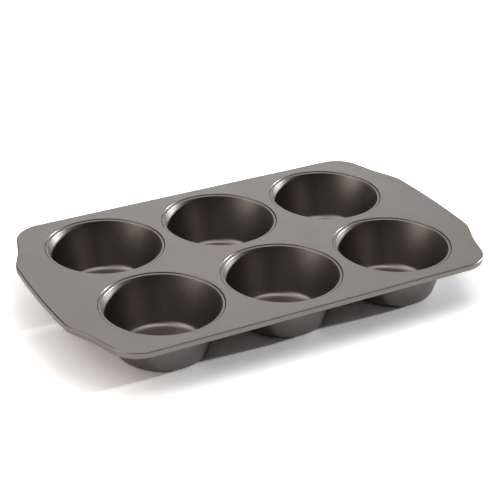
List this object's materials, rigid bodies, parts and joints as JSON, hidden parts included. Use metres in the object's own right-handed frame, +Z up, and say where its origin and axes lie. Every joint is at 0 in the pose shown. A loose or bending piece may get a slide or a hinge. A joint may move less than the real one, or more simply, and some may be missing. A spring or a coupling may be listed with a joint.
{
  "type": "jumbo muffin pan",
  "caption": "Jumbo muffin pan: a flat steel deck with a handle tab at each end, and large round tapered cups in two rows, with a dark release coating.",
  "frame": {"origin": "on the surface the pan stands on, under the middle of the cup grid", "axes": "+X along the pan from one handle tab to the other, +Y from the front row of cups to the back row, +Z up"},
  "size_m": [0.3784, 0.2296, 0.042],
  "materials": {
    "deck_coating": "satin warm grey release coating on steel",
    "cup_coating": "satin warm grey release coating on steel"
  },
  "bodies": {
    "root": {"deck": "deck_coating", "cup_front_left": "cup_coating", "cup_front_middle": "cup_coating", "cup_front_right": "cup_coating", "cup_back_left": "cup_coating", "cup_back_middle": "cup_coating", "cup_back_right": "cup_coating"}
  },
  "joints": []
}
